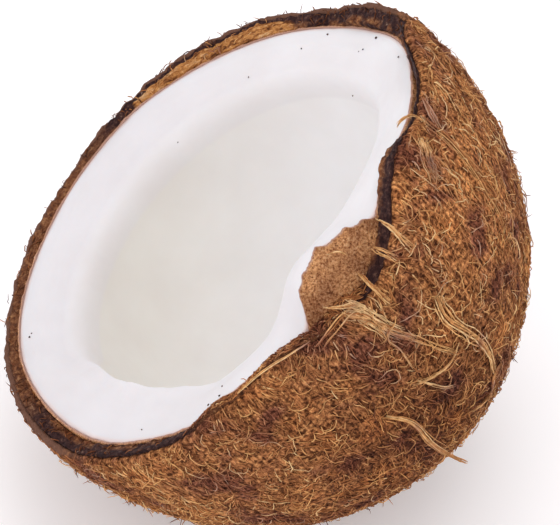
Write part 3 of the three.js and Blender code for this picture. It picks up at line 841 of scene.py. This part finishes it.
# Straps: ribbons of straw-coloured fibre that still cling together, pulled loose round the notch and the
# low front. Each is given as [azimuth in degrees, height in mm] along its middle.
STRAP_POINTS = 14
STRAPS = [
    # places, fibres, half width at each end, shade, lift at each end
    ([(299.6, 10.6), (300.6, 7.6), (301.2, 4.6), (301.6, 0.9), (303, -3.0)],
     26, (1.5, 0.6), 0.93, (0.15, 0.1)),
    ([(301, 3.0), (301.6, 0.9), (303.9, -5.3), (306.6, -13.0), (308.6, -18.2)],
     8, (0.6, 0.35), 0.84, (0.1, 0.1)),
    ([(298.2, 9.6), (300.4, 6.6), (301.2, 3.6), (301.8, 0.0), (304.0, -6)], 14, (1.2, 0.35), 0.78, (0.2, 0.1)),
    ([(296.8, 13.5), (298.8, 11.4), (301.1, 9.4)], 6, (0.1, 0.3), 0.84, (0.3, 0.3)),
    ([(305.6, 12.6), (305.5, 10.1), (305.5, 6.9), (305.4, 3.6)], 12, (0.1, 0.75), 0.78, (0.4, 0.1)),
    ([(316.1, 15.1), (316.4, 12.8), (316.3, 10.0), (316.2, 6.5)], 11, (0.15, 0.7), 0.76, (0.4, 0.0)),
    ([(311.3, 13.2), (312.0, 10.7), (312.6, 8.2)], 8, (0.25, 0.6), 0.76, (0.3, 0.1)),
    ([(290.8, 9.3), (294.9, 9.8), (298.4, 10.0), (300, 9.4)], 3, (0.08, 0.1), 0.70, (0.2, 0.3)),
    ([(291.6, 8.3), (295.7, 8.7), (298.4, 8.9), (300, 8.5)], 3, (0.08, 0.1), 0.76, (0.2, 0.3)),
    ([(290.4, 11.0), (285.6, 11.8), (281.8, 12.6), (277.8, 12.6), (273.7, 12.0)],
     3, (0.08, 0.08), 0.86, (0.25, 0.25)),
    ([(313, -4.6), (311, -7.5), (312, -13.4), (314, -19), (315, -27.2), (314, -34.6)],
     12, (1.9, 1.0), 0.82, (0.2, 0.3)),
    ([(310, -16.7), (306, -18.5), (301, -16.2), (298, -13.8)], 6, (0.2, 0.15), 0.88, (0.4, 0.3)),
    ([(299, -13.6), (302, -21.8), (304, -23.7)], 5, (0.15, 0.2), 0.86, (0.3, 0.4)),
    ([(303, 0.2), (301, 0.3), (300, -1.2), (301, -4.3), (300, -10.3)], 5, (0.15, 0.15), 0.84, (0.3, 0.3)),
    ([(289.6, -14.5), (291, -16.5), (292.2, -18.9), (292.7, -22.6), (291.9, -26.4), (291.9, -30.5),
      (292.4, -36)], 18, (0.3, 0.5), 0.72, (0.2, 2.4)),
    ([(291.9, -26.4), (291.9, -30.5), (292.4, -36), (294.2, -47)], 10, (0.4, 0.12), 0.66, (1.2, 3.9)),
    ([(341, 14), (341, 8), (340, 2), (338.6, -10.0), (338, -16)], 8, (1.3, 1.8), 0.66, (0.1, -0.1)),
    ([(345.6, 15.2), (343.6, 13.4), (341.7, 10.6)], 8, (0.5, 0.6), 0.78, (0.4, 0.1)),
    ([(337, 13.6), (334, 11.2), (331.5, 7.5)], 26, (1.4, 2.4), 0.80, (-0.05, -0.1)),
    ([(318, -35.9), (314, -35.2), (311, -41.1), (304, -37.1)], 6, (0.2, 0.2), 0.84, (0.4, 0.4)),
    ([(305.6, 17.9), (307.3, 16.6), (307.9, 15.3), (308.0, 14.4)], 3, (0.08, 0.08), 0.9, (-4.55, -4.4)),
    ([(340.5, 14.5), (340, 17.3), (337, 19.6), (334.5, 20.3)], 6, (0.4, 0.08), 0.86, (0.2, 1.2)),
]


def strap_routes(places, count, half_widths, lift_ends):
    """One route for each fibre of a strap, side by side, wandering a little and slid along one another."""
    azimuth, height = np.array(places, float).T
    azimuth = np.radians(azimuth)
    steps = np.hypot(np.diff(azimuth) * NUT_RADIUS, np.diff(height))
    travelled = np.concatenate([[0.0], np.cumsum(steps)]) / steps.sum()
    along = np.linspace(0, 1, STRAP_POINTS)
    middle = np.stack([np.interp(along, travelled, azimuth) * NUT_RADIUS, np.interp(along, travelled, height)])
    for _ in range(3):
        middle[:, 1:-1] = (middle[:, :-2] + 2 * middle[:, 1:-1] + middle[:, 2:]) / 4
    heading = np.gradient(middle, axis=1)
    heading /= np.linalg.norm(heading, axis=0)
    across = np.stack([-heading[1], heading[0]])
    width = np.interp(along, [0, 1], half_widths)
    straying = 0.035 + 0.08 * max(half_widths)
    offset = draw.uniform(-1, 1, (count, 1)) * width
    offset = offset + draw.normal(0, straying, (count, STRAP_POINTS)).cumsum(1)
    slid = draw.normal(0, 0.4, (count, 1))
    route = middle[:, None, :] + across[:, None, :] * offset + heading[:, None, :] * slid
    lifts = np.interp(along, [0, 1], lift_ends) + draw.uniform(0.0, 0.35, (count, 1))
    polars = np.arccos(np.clip(-route[1] / NUT_HALF_LENGTH, -0.99, 0.99))
    return over_mat(route[0] / NUT_RADIUS, polars, lifts)


strap_fibres = []
strap_shades = []
for places, count, half_widths, shade, lift_ends in STRAPS:
    strap_fibres.append(strap_routes(places, count, half_widths, lift_ends))
    strap_shades.append(np.clip(draw.normal(shade, 0.12, count), 0, 0.99))
strap_fibres = np.concatenate(strap_fibres)
strap_thickness = draw.uniform(0.20, 0.34, len(strap_fibres))
laid_fibres("straw_straps", strap_fibres, strap_thickness, np.concatenate(strap_shades), 1)

# Fuzz: short fibres and splinters of shell left on its broken face where it cracked, round most of the rim.
# They lie on the face in every direction, and on the low front they are so many that they hide it.
FUZZ_COUNT = 1100
FUZZ_POINTS = 5
low_front = draw.uniform(size=FUZZ_COUNT) < 0.7
fuzz_azimuth = np.where(low_front, draw.uniform(258, 305, FUZZ_COUNT), draw.uniform(0, 250, FUZZ_COUNT))
fuzz_heading = draw.uniform(0, math.tau, FUZZ_COUNT)
fuzz_length = draw.uniform(0.7, 2.6, FUZZ_COUNT)
along = np.linspace(0, 1, FUZZ_POINTS)
reach = fuzz_length[:, None] * along
fuzz_turns = np.radians(fuzz_azimuth)[:, None] + np.cos(fuzz_heading)[:, None] * reach / NUT_RADIUS
fuzz_parts = draw.uniform(0.0, 1.0, (FUZZ_COUNT, 1)) + np.sin(fuzz_heading)[:, None] * reach / SHELL_THICKNESS
fuzz_parts = np.clip(fuzz_parts, -0.1, 1.0)
fuzz_rims = broken_rim(fuzz_turns)
fuzz_slants = np.interp(np.degrees(fuzz_turns) % 360, *zip(*SHELL_SLANT), period=360)
fuzz_depths = SHELL_OUTSIDE_DEPTH + SHELL_THICKNESS * fuzz_parts
fuzz_heights = fuzz_rims - fuzz_slants * fuzz_parts
fuzz_rings = (NUT_RADIUS - fuzz_depths) * np.sqrt(1 - (fuzz_heights / (NUT_HALF_LENGTH - fuzz_depths)) ** 2)
fuzz_heights = fuzz_heights + draw.uniform(0, 0.5, (FUZZ_COUNT, 1)) * np.sin(math.pi * along) + 0.05
places = np.stack([fuzz_rings * np.cos(fuzz_turns), fuzz_rings * np.sin(fuzz_turns), fuzz_heights], -1)
routes = in_shared_frame(places)
front_part = np.clip(np.minimum(fuzz_azimuth - 254, 308 - fuzz_azimuth) / 6, 0, 1)
gold_side = np.clip(np.minimum(fuzz_azimuth - 60, 114 - fuzz_azimuth) / 6, 0, 1) * (fuzz_parts[:, 0] > 0.2)
shades = draw.normal(0.12, 0.13, FUZZ_COUNT) + front_part * draw.normal(0.32, 0.12, FUZZ_COUNT)
shades = np.clip(shades + 0.6 * gold_side, 0, 0.99)
laid_fibres("rim_fuzz", routes, draw.uniform(0.16, 0.34, FUZZ_COUNT), shades, 1)

# Crumbs: specks of broken shell and skin, half a millimetre across at most, that fell on the white flesh
# when the nut was cracked and stick to its damp face.
CRUMBS = [
    # azimuth in degrees, distance from the axis, size
    (181.6, 48.4, 0.34), (180.4, 48.0, 0.22), (58.9, 45.6, 0.24), (35.3, 46.1, 0.26), (36.5, 45.4, 0.18),
    (76.8, 42.5, 0.22), (23.1, 36.5, 0.24), (265.9, 45.6, 0.26), (105.5, 35.9, 0.2), (52.0, 48.9, 0.34),
    (33.0, 49.2, 0.4), (240.0, 48.0, 0.24), (262.0, 48.6, 0.3), (266.0, 48.8, 0.36), (15.0, 48.4, 0.3),
]
crumb_shape = bmesh.new()
for degrees, distance, size in CRUMBS:
    turn = math.radians(degrees)
    face = flesh_section(turn)[FLESH_SIDE_ROWS:FLESH_SIDE_ROWS + len(FACE_PARTS)]
    height = float(np.interp(-distance, [-point[0] for point in face], [point[1] for point in face]))
    place = Vector((distance * math.cos(turn), distance * math.sin(turn), height + 0.2 * size))
    bmesh.ops.create_icosphere(
        crumb_shape, subdivisions=2, radius=0.62 * size, matrix=Matrix.Translation(place))
for point in crumb_shape.verts:
    point.co += Vector((1, 1, 0.4)) * 0.12 * noise.noise(point.co * 4.0)
crumbs = finished("crumbs", crumb_shape, dark_shell)
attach(crumbs, "root")
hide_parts("flesh")
